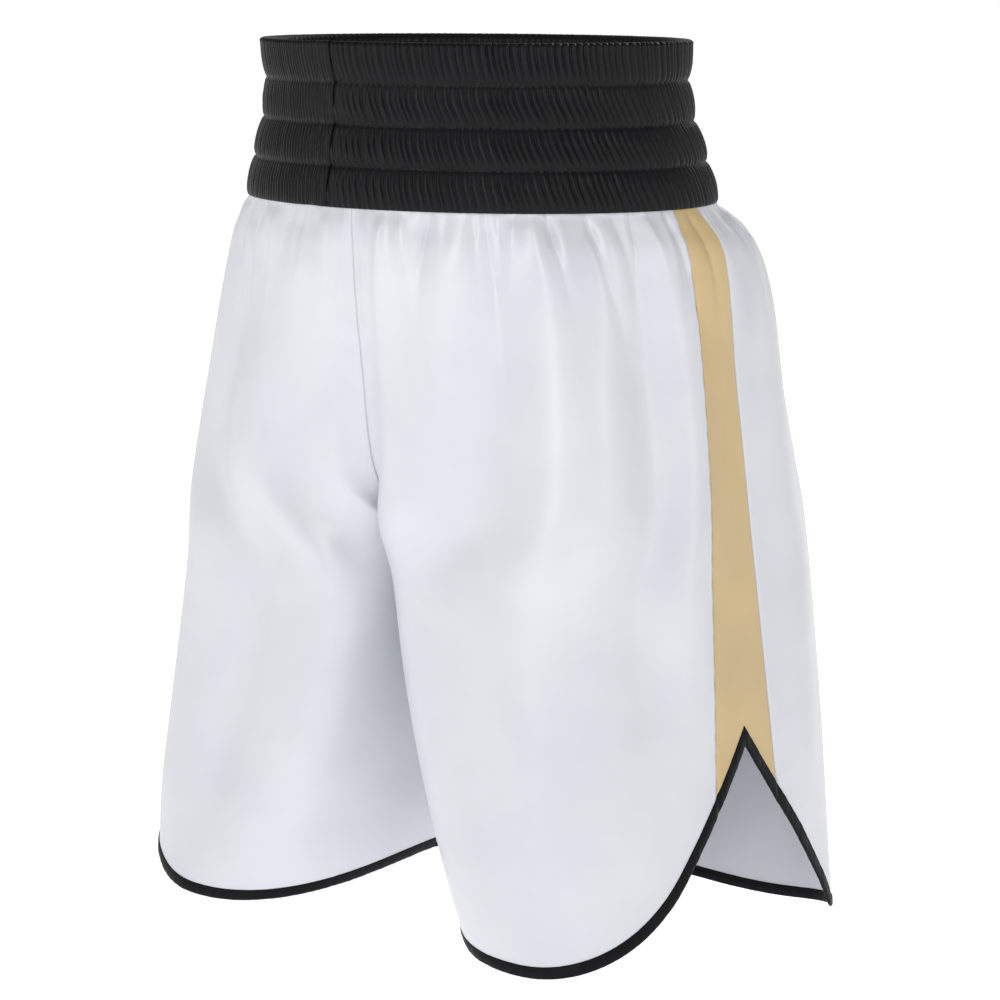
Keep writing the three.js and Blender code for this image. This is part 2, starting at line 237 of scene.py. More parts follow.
def seam_angle(half, down):
    """The angle at the tube's centre from the side to the front or back seam."""
    centre, half_width, split = leg_tube(down)
    power = by_half(half, "_inner_squareness", down)
    inner = np.clip(1 - (centre / half_width) ** power, 0, 1)
    seam_depth = np.where(split < 1, by_half(half, "", down) * inner ** (1 / power), 0)
    return np.arctan2(seam_depth, -centre)


def outline_point(half, angle, down):
    """The point of the left half's level outline at an angle from the side."""
    centre, half_width, _ = leg_tube(down)
    outer = angle < np.pi / 2
    outer_power = by_half(half, "_squareness", down)
    power = np.where(outer, outer_power, by_half(half, "_inner_squareness", down))
    across = np.abs(np.cos(angle) / half_width) ** power
    deep = np.abs(np.sin(angle) / by_half(half, "", down)) ** power
    reach = (across + deep) ** (-1 / power)
    x = centre + reach * np.cos(angle)
    y = size_at("shift", down) + reach * np.sin(angle) * np.where(half == FRONT, -1, 1)
    return np.stack([x, y, -down], axis=-1)


def smooth_down(rows):
    """A table with each column smoothed down its levels."""
    reach = 3 * SMOOTH_STEPS
    offsets = np.arange(-reach, reach + 1)
    weights = np.exp(-0.5 * (offsets / SMOOTH_STEPS) ** 2)
    weights /= weights.sum()
    padded = np.concatenate([rows[:1]] * reach + [rows] + [rows[-1:]] * reach)
    return sum(weight * padded[at:at + len(rows)] for at, weight in enumerate(weights))


def outline_table(half):
    """Angles at equal steps of length on each level, smoothed past the crotch, and the lengths."""
    down = np.broadcast_to(TABLE_DOWNS[:, None], (len(TABLE_DOWNS), OUTLINE_SAMPLES))
    shares = np.linspace(0, 1, OUTLINE_SAMPLES)
    seam = seam_angle(half, down)
    points = outline_point(half, shares * seam, down)
    lengths = np.zeros(down.shape)
    lengths[:, 1:] = np.cumsum(np.linalg.norm(np.diff(points, axis=1), axis=2), axis=1)
    exact = np.array([np.interp(shares * row[-1], row, shares) for row in lengths]) * seam
    near_seam = smoothstep(EXACT_FROM, 1, shares)
    angles = smooth_down(exact) * (1 - near_seam) + exact * near_seam
    return angles, smooth_down(lengths[:, -1:])[:, 0]


TABLE_DOWNS = np.arange(TABLE_TOP, LENGTH + HEM_DIPS[BACK] + TABLE_STEP, TABLE_STEP)
ANGLES, SEAM_LENGTHS = map(np.array, zip(*(outline_table(half) for half in (FRONT, BACK))))


def seam_length(half, down):
    """Length along the outline from the side to the front or back seam."""
    return np.interp(down, TABLE_DOWNS, SEAM_LENGTHS[half])


def seam_share(along, down):
    """-1 at the front seam, 0 at the side and 1 at the back seam."""
    length = np.where(along < 0, seam_length(FRONT, down), seam_length(BACK, down))
    return np.clip(along / length, -1, 1)


def skin(along, down):
    """Points of the left half's cloth before any fold. along is negative towards the front."""
    half = np.where(along < 0, FRONT, BACK)
    column = np.abs(seam_share(along, down)) * (OUTLINE_SAMPLES - 1)
    just_inside = len(TABLE_DOWNS) - 1.001
    row = np.clip((down - TABLE_TOP) / TABLE_STEP, 0, just_inside)
    i = np.minimum(column.astype(int), OUTLINE_SAMPLES - 2)
    j = row.astype(int)
    u, v = column - i, row - j
    upper = ANGLES[half, j, i] * (1 - u) + ANGLES[half, j, i + 1] * u
    lower = ANGLES[half, j + 1, i] * (1 - u) + ANGLES[half, j + 1, i + 1] * u
    return outline_point(half, upper * (1 - v) + lower * v, down)


def unit(vectors):
    return vectors / np.maximum(np.linalg.norm(vectors, axis=-1, keepdims=True), 1e-9)


def skin_normal(along, down):
    """Outward directions of the left half's cloth before any fold."""
    reach = 2.0
    ahead = skin(along + reach, down) - skin(along - reach, down)
    below = skin(along, down + reach) - skin(along, down - reach)
    return unit(np.cross(below, ahead))


# ---------- Folds and gathers ----------

# Places round the body: 0 is the front seam, 1 the wearer's left side, 2 the back seam and 3 the
# right side.
PUCKERS = 92  # small gathers all round
PUCKER_LEAN_RUN = 60
PUCKER_SPREAD_RUN = 45  # how far below the band a pucker has doubled its width
DRAPES = 34  # larger gathers all round
DRAPE_LEAN_RUN = 100
DRAPE_SPREAD_RUN = 160
SEAM_CALM = 26  # how far from a seam the folds reach their full height
PUFF = 3.0  # how far the cloth puffs out just below the band
PULL_IN = 1.0  # how far the band's foot pulls it in
SEAM_PUCKER = 0.5
SEAM_PUCKER_AWAY = 7  # from the seam to the middle of its row of puckers
SEAM_PUCKER_END = (180, 300)  # where that row fades out
VALLEY = 0.55  # the depth of the valley at a stripe's seam
VALLEY_HALF_WIDTH = 1.3

# Each long fold: place at its top, place at its foot, half width, height as a share of the fold
# height, top and foot.
LONG_FOLDS = (
    (3.93, 3.90, 22, 0.7, 120, 420),
    (3.70, 3.66, 20, 1.0, 130, 480),
    (3.52, 3.47, 18, -1.0, 110, 500),
    (3.36, 3.30, 22, 1.1, 125, 540),
    (3.12, 3.08, 24, -0.8, 140, 540),
    (0.14, 0.18, 26, 1.0, 150, 430),
    (0.34, 0.40, 26, -0.7, 150, 480),
    (0.56, 0.60, 30, 1.0, 140, 500),
    (0.76, 0.80, 20, -0.9, 120, 420),
    (0.88, 0.88, 18, 0.9, 120, 400),
    (1.20, 1.16, 22, 0.9, 120, 470),
    (1.45, 1.42, 26, -1.0, 140, 540),
    (1.66, 1.62, 24, 1.1, 120, 520),
    (1.85, 1.80, 20, -0.8, 130, 460),
    (2.17, 2.22, 22, 1.0, 120, 500),
    (2.40, 2.44, 24, -1.0, 130, 540),
    (2.62, 2.64, 26, 1.1, 120, 520),
    (2.84, 2.84, 20, -0.8, 120, 430),
)


def place_round(is_left, along, down):
    """Where a point of the cloth is round the body."""
    share = seam_share(along, down)
    return (1 + share) % 4 if is_left else (3 - share) % 4


def place_gap(place, centre):
    """Signed way round from centre to place, in quarters of the body."""
    return (place - centre + 2) % 4 - 2


class Gathers:
    """The creases, short ridges and long folds of the cloth below the band, from one seed."""

    def __init__(self, sizes):
        draw = np.random.default_rng(sizes.seed)
        self.pucker_height = sizes.pucker_height / MM
        self.fold_height = sizes.fold_height / MM
        # Each one's place, width, share of the height, reach below the band and lean.
        self.puckers = np.stack([
            (np.arange(PUCKERS) + draw.uniform(-0.42, 0.42, PUCKERS)) * 4 / PUCKERS,
            draw.uniform(2.0, 4.4, PUCKERS),
            draw.uniform(0.45, 1.0, PUCKERS) ** 1.3 * draw.choice([-1.0, 0.8], PUCKERS),
            draw.uniform(20, 55, PUCKERS) * draw.choice([1.0, 1.8], PUCKERS, p=[0.7, 0.3]),
            draw.uniform(-0.05, 0.05, PUCKERS),
        ], axis=1)
        self.drapes = np.stack([
            (np.arange(DRAPES) + draw.uniform(-0.4, 0.4, DRAPES)) * 4 / DRAPES,
            draw.uniform(6, 11, DRAPES),
            draw.uniform(0.4, 1.0, DRAPES) * draw.choice([-0.6, 0.65], DRAPES),
            draw.uniform(90, 230, DRAPES),
            draw.uniform(-0.04, 0.04, DRAPES),
        ], axis=1)

    def height(self, is_left, along, down):
        """How far the cloth stands out, in millimetres."""
        place = place_round(is_left, along, down)
        quarter = np.where(along < 0, seam_length(FRONT, down), seam_length(BACK, down))
        below = np.maximum(down - BAND_HEIGHT, 0)
        total = np.zeros_like(down)
        for centre, width, height, reach, lean in self.puckers:
            away = np.abs(place_gap(place, centre + lean * below / PUCKER_LEAN_RUN)) * quarter
            fade = np.exp(-((below / reach) ** 1.6)) * (0.35 + 0.65 * smoothstep(0, 12, below))
            spread = width * (1 + below / PUCKER_SPREAD_RUN)
            total += self.pucker_height * height * fade * np.exp(-((away / spread) ** 1.3))
        for centre, width, height, reach, lean in self.drapes:
            away = np.abs(place_gap(place, centre + lean * below / DRAPE_LEAN_RUN)) * quarter
            fade = np.exp(-((below / reach) ** 2)) * smoothstep(2, 40, below)
            spread = width * (1 + below / DRAPE_SPREAD_RUN)
            total += self.fold_height * height * fade * np.exp(-((away / spread) ** 2))
        for top_place, foot_place, width, height, top, foot in LONG_FOLDS:
            run = np.clip((down - top) / (foot - top), 0, 1)
            centre = top_place + place_gap(foot_place, top_place) * run
            away = np.abs(place_gap(place, centre)) * quarter
            fade = smoothstep(top - 30, top + 70, down)
            fade = fade * (1 - smoothstep(foot - 90, foot + 30, down))
            total += self.fold_height * height * fade * np.exp(-((away / width) ** 2))
        puff = PUFF * smoothstep(0, 22, below) * (1 - smoothstep(25, 110, below))
        puff = puff - PULL_IN * (1 - smoothstep(0, 8, below))
        from_seam = quarter - np.abs(along)
        seam_fade = smoothstep(0, SEAM_CALM, from_seam)
        total = total * seam_fade + puff * smoothstep(0, 10, from_seam)
        uneven = np.sin(down / 4.1 + 0.9 * np.sin(down / 13))
        seam_pucker = SEAM_PUCKER * uneven * (1 - smoothstep(*SEAM_PUCKER_END, down))
        return total + seam_pucker * np.exp(-((from_seam - SEAM_PUCKER_AWAY) / 5) ** 2)


def stripe_half_width(down):
    """Half the width of the side stripe, which widens towards the vent."""
    share = (down - BAND_HEIGHT) / (VENT_TOP - BAND_HEIGHT)
    return (STRIPE_WIDTHS[0] + (STRIPE_WIDTHS[1] - STRIPE_WIDTHS[0]) * share) / 2


def seam_valley(along, down):
    """The small valley that a stripe's two seams pull in the cloth."""
    away = np.abs(np.abs(along) - stripe_half_width(down))
    ripple = 1 + 0.35 * np.sin(down / 2.3 + np.sin(down / 9.0))
    return -VALLEY * ripple * np.exp(-((away / VALLEY_HALF_WIDTH) ** 1.4))


def cloth(gathers, is_left, along, down):
    """Points of the finished cloth, in metres, on the wearer's left or right."""
    height = gathers.height(is_left, along, down) + seam_valley(along, down)
    points = skin(along, down) + skin_normal(along, down) * height[..., None]
    if not is_left:
        points[..., 0] *= -1
    return points * MM


def grid_normals(points, is_left):
    """Outward directions of a grid of cloth. Its columns run to the back and its rows down."""
    ahead = np.gradient(points, axis=1)
    below = np.gradient(points, axis=0)
    return unit(np.cross(below, ahead)) * (1 if is_left else -1)


# ---------- Lower edges ----------

CORNER_RADII = (150, 8)  # where the vent's front and back edges turn into the hem
INSEAM_LIFT = 16  # how much higher the hem is at the inseam


def lower_edge(half, inset, step):
    """A leg's lower edge from the vent's top to the inseam, as distances from the side and down."""
    slant = VENT_SLANTS[half]
    radius = CORNER_RADII[half]
    turning = radius - inset
    reach = (LENGTH - VENT_TOP) * math.tan(slant)
    tangent = radius * math.tan(math.pi / 4 - slant / 2)
    arc_x = reach + tangent
    arc_down = LENGTH - radius
    start = np.array([0, VENT_TOP - inset / math.sin(min(VENT_SLANTS))])
    first = np.array([arc_x - math.cos(slant) * turning, arc_down + math.sin(slant) * turning])
    straight_steps = max(int(np.hypot(*(first - start)) / step), 2)
    way = np.linspace(0, 1, straight_steps, endpoint=False)[:, None]
    straight = start + (first - start) * way
    arc_steps = max(int(radius * (math.pi / 2 - slant) / step), 6)
    turn = np.linspace(slant, math.pi / 2, arc_steps, endpoint=False)
    arc = np.stack([arc_x - np.cos(turn) * turning, arc_down + np.sin(turn) * turning], axis=1)
    hem_length = seam_length(half, LENGTH - INSEAM_LIFT) - arc_x
    share = np.linspace(0, 1, int(hem_length / step) + 1)
    lift = INSEAM_LIFT * smoothstep(0, 1, share) - HEM_DIPS[half] * np.sin(np.pi * share)
    hem = np.stack([arc_x + hem_length * share, LENGTH - inset - lift], axis=1)
    return np.concatenate([straight, arc, hem])


# ---------- Meshes ----------

def grid_faces(rows, columns, first=0):
    """Quads of a grid of points."""
    index = np.arange(rows * columns).reshape(rows, columns) + first
    corners = (index[:-1, :-1], index[1:, :-1], index[1:, 1:], index[:-1, 1:])
    return np.stack(corners, axis=-1).reshape(-1, 4)


def border(rows, columns):
    """Point numbers round the edge of a grid, in order."""
    index = np.arange(rows * columns).reshape(rows, columns)
    return np.concatenate([index[:, 0], index[-1, 1:], index[-2::-1, -1], index[0, -2:0:-1]])


def mesh_piece(name, points, faces, flat):
    """A smooth object with its cloth laid out flat, in metres, as its UV map."""
    mesh = bpy.data.meshes.new(name)
    mesh.from_pydata(points.tolist(), [], faces.tolist())
    layer = mesh.uv_layers.new(name="cut")
    corner_points = np.empty(len(mesh.loops), int)
    mesh.loops.foreach_get("vertex_index", corner_points)
    layer.data.foreach_set("uv", flat[corner_points].ravel())
    mesh.shade_smooth()
    mesh.update()
    piece = bpy.data.objects.new(name, mesh)
    bpy.context.scene.collection.objects.link(piece)
    return piece


def thick_sheet(name, points, flat, thickness, is_left):
    """A closed sheet of cloth. points are its outer face, and flat their places in the cut."""
    rows, columns = points.shape[:2]
    normals = grid_normals(points, is_left)
    outer = points.reshape(-1, 3)
    inner = (points - normals * thickness).reshape(-1, 3)
    outer_faces = grid_faces(rows, columns)
    inner_faces = grid_faces(rows, columns, first=rows * columns)[:, ::-1]
    edge = border(rows, columns)
    following = np.roll(edge, -1)
    rim = np.stack([following, edge, edge + rows * columns, following + rows * columns], axis=1)
    faces = np.concatenate([outer_faces, inner_faces, rim])
    if not is_left:
        faces = faces[:, ::-1]
    all_points = np.concatenate([outer, inner])
    all_flat = np.concatenate([flat.reshape(-1, 2)] * 2) * MM
    return mesh_piece(name, all_points, faces, all_flat)


def run_along(points):
    """The length of a line of points up to each point."""
    steps = np.linalg.norm(np.diff(points, axis=0), axis=1)
    return np.concatenate([[0], np.cumsum(steps)])


def area(grid):
    """Area of a grid of points, in its own units squared."""
    ahead = np.diff(grid, axis=1)[:-1]
    below = np.diff(grid, axis=0)[:, :-1]
    return float(np.linalg.norm(np.cross(ahead, below), axis=-1).sum())


def dress(piece, material):
    """Gives a piece its material."""
    piece.data.materials.clear()
    piece.data.materials.append(material)


def hang_on_leg(piece):
    """Bakes the piece's placing into its points; the cloth isn't bent between the seat and the leg.
    """
    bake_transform(piece)


# ---------- Materials ----------

class Finish:
    """A material whose nodes are added and joined by name."""

    def __init__(self, name):
        self.material = bpy.data.materials.new(name)
        self.material.use_nodes = True
        self.tree = self.material.node_tree
        self.shader = self.tree.nodes["Principled BSDF"]

    def node(self, kind, values=None, **settings):
        made = self.tree.nodes.new(kind)
        for key, value in settings.items():
            setattr(made, key, value)
        for key, value in (values or {}).items():
            made.inputs[key].default_value = value
        return made

    def link(self, output, socket):
        self.tree.links.new(output, socket)

    def shine(self, **values):
        """Sets the shader's own sockets."""
        for key, value in values.items():
            socket = key.replace("_", " ").title().replace("Ior", "IOR")
            self.shader.inputs[socket].default_value = value


def cut_place(finish):
    """The place on the flat cut, in millimetres."""
    where = finish.node("ShaderNodeUVMap", uv_map="cut")
    mapping = finish.node("ShaderNodeMapping", {"Scale": (1 / MM, 1 / MM, 1)})
    finish.link(where.outputs["UV"], mapping.inputs["Vector"])
    return mapping.outputs["Vector"]


THREAD_SLENDERNESS = 0.06  # a slub's width as a share of its length
CLOUD_SCALE = 0.012
RELIEF = 0.0004
# Tint of the painted shade on black cloth, a little bluish
BLACK_SHADE = (0.9, 0.9, 0.95)


def satin(name, colour, roughness, shade, thread=0.35, painted_light_range=0.05, bump=0.04):
    """Satin: long threads down the cloth, soft clouds of painted highlight and painted shade, and a
    low bump of slubs.
    """
    finish = Finish(name)
    place = cut_place(finish)
    threads = finish.node("ShaderNodeTexNoise", {"Scale": 1.0, "Detail": 2.0, "Roughness": 0.6})
    thread_scale = (1 / thread, THREAD_SLENDERNESS / thread, 1)
    stretched = finish.node("ShaderNodeMapping", {"Scale": thread_scale})
    finish.link(place, stretched.inputs["Vector"])
    finish.link(stretched.outputs["Vector"], threads.inputs["Vector"])
    cloudy = {"Scale": CLOUD_SCALE, "Detail": 3.0, "Roughness": 0.5}
    clouds = finish.node("ShaderNodeTexNoise", cloudy)
    finish.link(place, clouds.inputs["Vector"])
    # Painted light: the base colour swings in soft random clouds between a painted shade, darkened
    # and tinted by shade, and a painted highlight, brightened by the same range
    mix = finish.node("ShaderNodeMix", data_type="RGBA")
    mix.inputs["A"].default_value = (*[c * (1 - painted_light_range) * s for c, s in zip(colour, shade)], 1)
    mix.inputs["B"].default_value = (*[min(c * (1 + painted_light_range), 1) for c in colour], 1)
    spread = finish.node("ShaderNodeMapRange", {"From Min": 0.3, "From Max": 0.7})
    finish.link(clouds.outputs["Fac"], spread.inputs["Value"])
    finish.link(spread.outputs["Result"], mix.inputs["Factor"])
    finish.link(mix.outputs["Result"], finish.shader.inputs["Base Color"])
    uneven = {"To Min": roughness - 0.05, "To Max": roughness + 0.06}
    gloss = finish.node("ShaderNodeMapRange", uneven)
    finish.link(threads.outputs["Fac"], gloss.inputs["Value"])
    finish.link(gloss.outputs["Result"], finish.shader.inputs["Roughness"])
    relief = finish.node("ShaderNodeBump", {"Strength": bump, "Distance": RELIEF})
    finish.link(threads.outputs["Fac"], relief.inputs["Height"])
    finish.link(relief.outputs["Normal"], finish.shader.inputs["Normal"])
    return finish


def panel_satin(colours):
    # The white satin's painted shade is tinted a little bluish
    finish = satin("white_satin", colours.panel, 0.36, (0.985, 0.99, 1.0))
    finish.shine(sheen_weight=0.15, sheen_roughness=0.4, specular_ior_level=0.6)
    return finish.material


def stripe_satin(colours):
    finish = satin("gold_satin", colours.stripe, 0.45, (0.97, 0.96, 0.93))
    finish.shine(sheen_weight=0.2, sheen_roughness=0.4, specular_ior_level=0.4)
    return finish.material


def band_satin(colours):
    finish = satin("black_satin", colours.band, 0.42, BLACK_SHADE, painted_light_range=0.15, bump=0.08)
    finish.shine(sheen_weight=0.0, sheen_roughness=0.35, specular_ior_level=0.17)
    return finish.material


def binding_tape(colours):
    finish = satin(
        "black_tape", colours.binding, 0.5, BLACK_SHADE, thread=0.5, painted_light_range=0.15, bump=0.1
    )
    finish.shine(sheen_weight=0.0, sheen_roughness=0.4, specular_ior_level=0.12)
    return finish.material


def knitted_elastic():
    colour, shade = (0.70, 0.70, 0.67), (0.9, 0.9, 0.9)
    return satin("elastic", colour, 0.8, shade, thread=0.9, painted_light_range=0.06, bump=0.3).material


def label_weave():
    colour, shade = (0.86, 0.86, 0.84), (0.95, 0.95, 0.95)
    return satin("label_cloth", colour, 0.6, shade, thread=0.3, painted_light_range=0.03, bump=0.1).material


# ---------- Waistband ----------

BAND_HALF_WIDTHS = (137, 152)  # at the rim and at the foot
BAND_LEAN = 6  # how far the foot stands back from the rim
BAND_PINCH = 3  # how far the band draws in between them
PINCH_SHARE = 0.7
DEPTH_SHARE = 0.775  # of the band's depth to its width
BAND_SAMPLES = 2001
CASING_THICKNESS = 4.7
ROW_BULGE = 0.9
LAP_ANGLE = math.radians(-90 - 11)  # the lap lies a little to the wearer's right of centre front
LAP_SLANT = 4.0  # how far round the lap moves towards the front between rim and foot
LAP = 9  # how far the upper end lies over the lower one
LAP_RISE = 1.5
LAP_SINK = 0.5
PLEAT_SLANTS = (2.2, 4.6, 3.4, 2.4)  # how far each row's pleats lean by their foot
PLEAT_HEIGHTS = 600
STEPS_PER_PLEAT = 7
FINE_PLEATS = (130, 100)  # before the lap's end, where the pleats grow finer
FINE_PITCH = 0.25  # how much shorter their pitch is, as a share
FINE_HEIGHT = 0.45  # how much lower they are, as a share
PLEAT_WANDER = 0.30  # in pleats, the same in every row
ROW_WANDER = 0.08  # in pleats, each row's own
STITCH_DEPTH = 0.5
STITCH_HALF_WIDTH = 0.9
RIM_WAVE = 0.3  # how much of the pleats' height the rim shows, as a share
RIM_WAVE_REACH = 2.5
LAP_END_RISE = 0.35  # how far the upper end's rim stands up at the lap
INNER_HEIGHT = 0.35  # of the pleats on the band's inner face, as a share
RIM_DROP = 1.6  # where the fold over the rim starts
PROFILE_STEPS = (84, 8, 30)  # down the outer face, over the rim and down the inner face


def band_half_width(down):
    share = down / BAND_HEIGHT
    flare = (BAND_HALF_WIDTHS[1] - BAND_HALF_WIDTHS[0]) * share**2
    pinch = BAND_PINCH * np.sin(np.pi * np.minimum(share / PINCH_SHARE, 1))
    return BAND_HALF_WIDTHS[0] + flare - pinch


def waves(draw, count, longest, shortest):
    """A smooth random function of one distance, between about -1 and 1."""
    lengths = np.geomspace(longest, shortest, count)
    phases = draw.uniform(0, 2 * np.pi, count)

    def height(value):
        parts = (np.sin(2 * np.pi * value / l + p) for l, p in zip(lengths, phases))
        return sum(parts) / count**0.5

    return height


def band_steps(angle):
    """The lengths between neighbouring angles round the middle of the band."""
    mean = sum(BAND_HALF_WIDTHS) / 2
    x, y = mean * np.cos(angle), mean * DEPTH_SHARE * np.sin(angle)
    return np.hypot(np.diff(x), np.diff(y))


def band_circumference():
    return float(band_steps(np.linspace(0, 2 * np.pi, BAND_SAMPLES)).sum())


def band_angle(way):
    """The angle round the band at a distance from the lap, towards the wearer's left."""
    angle = np.linspace(0, 2 * np.pi, BAND_SAMPLES) + LAP_ANGLE
    lengths = np.concatenate([[0], np.cumsum(band_steps(angle))])
    overlap = slice(1, 20)
    angles = np.concatenate([angle, angle[overlap] + 2 * np.pi])
    lengths = np.concatenate([lengths, lengths[-1] + lengths[overlap]])
    return np.interp(way, lengths, angles)


class Pleats:
    """The pleats that the elastic gathers in the band. way is a distance round it from the lap."""

    def __init__(self, sizes):
        draw = np.random.default_rng(sizes.seed + 1)
        self.pitch = sizes.pleat_pitch / MM
        self.tall = sizes.pleat_height / MM
        self.wander = waves(draw, 5, 90, 22)
        self.row_wander = [waves(draw, 3, 60, 20) for _ in range(ROWS)]
        self.heights = draw.uniform(0.7, 1.0, PLEAT_HEIGHTS)

    def height(self, way, down, length):
        """How far the satin stands out from the band's plain face, in millimetres."""
        row = np.clip((down / BAND_HEIGHT * ROWS).astype(int), 0, ROWS - 1)
        share = down / BAND_HEIGHT * ROWS - row
        slant = np.array(PLEAT_SLANTS)[row] * (smoothstep(0.1, 0.95, share) ** 1.5)
        slant = slant * (1 - smoothstep(0.95, 1, share))
        fine = smoothstep(length - FINE_PLEATS[0], length - FINE_PLEATS[1], way)
        moved = way - slant * (1 - 0.5 * fine)
        own = np.choose(row, [wander(moved) for wander in self.row_wander])
        pitch = self.pitch * (1 - FINE_PITCH * fine)
        pitch_count = moved / pitch + PLEAT_WANDER * self.wander(moved) + ROW_WANDER * own
        index = np.floor(pitch_count).astype(int)
        t = pitch_count - index
        ridge = (1 - np.abs(2 * t - 1) ** 2) ** 0.6
        tall = self.tall * self.heights[index % PLEAT_HEIGHTS] * (1 - FINE_HEIGHT * fine)
        arch = np.sin(np.pi * np.clip(share, 0, 1))
        open_top = np.where(row == 0, 1 - smoothstep(0, 0.5, share), 0)
        open_foot = np.where(row == ROWS - 1, smoothstep(0.6, 1, share), 0)
        lively = np.clip(0.28 + 0.72 * arch**0.6 + 0.4 * open_top, 0, 1)
        from_stitch = np.minimum(share, 1 - share) * BAND_HEIGHT / ROWS
        stitch = np.exp(-((from_stitch / STITCH_HALF_WIDTH) ** 2))
        stitch = stitch * (1 - open_top) * (1 - open_foot)
        bulge = ROW_BULGE * np.maximum(arch**0.8, 0.6 * open_top)
        return bulge + ridge * tall * lively - STITCH_DEPTH * stitch


def waistband_profile():
    """The strip's section, outer foot to inner foot over the rim, as distances down and inwards.

    Also the counts of its steps on the outer face and over the rim.
    """
    outer_steps, fold_steps, inner_steps = PROFILE_STEPS
    outer = [(down, 0.0) for down in np.linspace(BAND_HEIGHT, RIM_DROP, outer_steps)]
    radius = CASING_THICKNESS / 2
    first_turn = 0.35
    fold = [
        (radius - radius * math.sin(turn), radius - radius * math.cos(turn))
        for turn in np.linspace(first_turn, math.pi - first_turn, fold_steps)
    ]
    inner = [(down, CASING_THICKNESS) for down in np.linspace(RIM_DROP, BAND_HEIGHT, inner_steps)]
    return np.array(outer + fold + inner), outer_steps, fold_steps


def make_waistband(sizes, colours):
    pleats = Pleats(sizes)
    length = band_circumference()
    columns = int(length / pleats.pitch * STEPS_PER_PLEAT)
    way = np.linspace(0, length + LAP, columns)[None, :]
    profile, outer_count, fold_count = waistband_profile()
    down = profile[:, 0][:, None]
    depth = profile[:, 1][:, None]
    angle = band_angle(way) + LAP_SLANT / BAND_HALF_WIDTHS[1] * (down / BAND_HEIGHT - 0.5)
    height = pleats.height(way, down, length)
    inward = np.linspace(0, 1, len(profile))[:, None]
    start = outer_count / len(profile)
    inside = smoothstep(start, (outer_count + fold_count) / len(profile), inward)
    height = height * (1 - inside) - INNER_HEIGHT * (height - ROW_BULGE) * inside
    lap_over = smoothstep(length - 6, length + 0.5, way) * LAP_RISE
    lap_under = -LAP_SINK * (1 - smoothstep(0, LAP + 3, way))
    edge_down = -0.8 * smoothstep(length + LAP - 1.2, length + LAP, way)
    height = height + (lap_over + lap_under + edge_down) * (1 - 2 * inside)
    reach = band_half_width(down) - depth
    x = reach * np.cos(angle)
    y = reach * DEPTH_SHARE * np.sin(angle) + BAND_LEAN * down / BAND_HEIGHT
    out_x, out_y = np.moveaxis(
        unit(np.stack([np.cos(angle) * DEPTH_SHARE, np.sin(angle)], axis=-1)), -1, 0
    )
    rise = LAP_END_RISE * smoothstep(length - 20, length, way)
    rim_fade = np.exp(-((down / RIM_WAVE_REACH) ** 2))
    z = -down + (height - ROW_BULGE) * rim_fade * RIM_WAVE + rise
    points = np.stack([x + out_x * height, y + out_y * height, z], axis=-1)
    over = run_along(points[:, 0])
    fullness = area(points) / (over[-1] * (length + LAP))
    flat = np.stack(np.broadcast_arrays(way * fullness, over[:, None]), axis=-1)
    faces = grid_faces(*points.shape[:2])[:, ::-1]
    piece = mesh_piece("waistband", points.reshape(-1, 3) * MM, faces, flat.reshape(-1, 2) * MM)
    dress(piece, band_satin(colours))
    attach(piece, "trunk")
    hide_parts("waistband_casing")


LABEL_THICKNESS = 0.0004
LABEL_CLEARANCE = 1.0  # from the casing to the middle of the label
LABEL_OFF = 0.9  # how much further in its face lies
LABEL_EDGE = 0.35  # how much its edges turn back to the casing


def make_label():
    """The blank woven label inside the back of the band."""
    low, high = (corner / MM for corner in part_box("back_label"))
    x = np.linspace(low.x, high.x, 25)[None, :]
    down = np.linspace(-high.z, -low.z, 33)[:, None]
    reach = band_half_width(down) - CASING_THICKNESS - LABEL_CLEARANCE
    y = reach * DEPTH_SHARE * np.sqrt(1 - (x / reach) ** 2) + BAND_LEAN * down / BAND_HEIGHT
    edge = np.minimum(np.minimum(x - low.x, high.x - x), np.minimum(down + high.z, -low.z - down))
    y = y - LABEL_OFF + LABEL_EDGE * (1 - smoothstep(0, 2.5, edge))
    y = y - 0.15 * np.sin(x / 5) * np.sin(down / 9)
    points = np.stack(np.broadcast_arrays(x, y, -down), axis=-1)
    flat = np.stack(np.broadcast_arrays(x, down), axis=-1)
    piece = thick_sheet("label", points * MM, flat, LABEL_THICKNESS, False)
    dress(piece, label_weave())
    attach(piece, "trunk")
    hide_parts("back_label")


# ---------- Panels, stripes and bindings ----------

PANEL_COLUMNS = 150
PANEL_ROWS = 190
STRIPE_COLUMNS = 41
EDGE_INSET = 3.0  # how far the cloth's edge lies inside the finished edge, within the binding
TUCK = 2.5  # how far the cloth's top runs up into the band
FOOT_ROUNDS = 60  # of the search for each column's foot
FOOT_GUESS = LENGTH - 10.0


def foot_of_columns(half, along_at, columns):
    """The distance down at which each column meets the cloth's lower edge."""
    shares = np.linspace(0, 1, columns)
    edge = lower_edge(half, EDGE_INSET, 2.0)
    foot = np.full(columns, FOOT_GUESS)
    for _ in range(FOOT_ROUNDS):
        away = np.abs(along_at(shares, foot))
        foot = 0.5 * foot + 0.5 * np.interp(away, edge[:, 0], edge[:, 1])
    return foot


def cloth_grid(gathers, is_left, foot, along_at):
    """Cloth from the band down to the foot of each column, and its places in the cut."""
    v = np.linspace(0, 1, PANEL_ROWS)[:, None]
    down = (BAND_HEIGHT - TUCK) * (1 - v) + foot[None, :] * v
    along = along_at(np.broadcast_to(np.linspace(0, 1, len(foot)), down.shape), down)
    return cloth(gathers, is_left, along, down), np.stack([along, down], axis=-1)


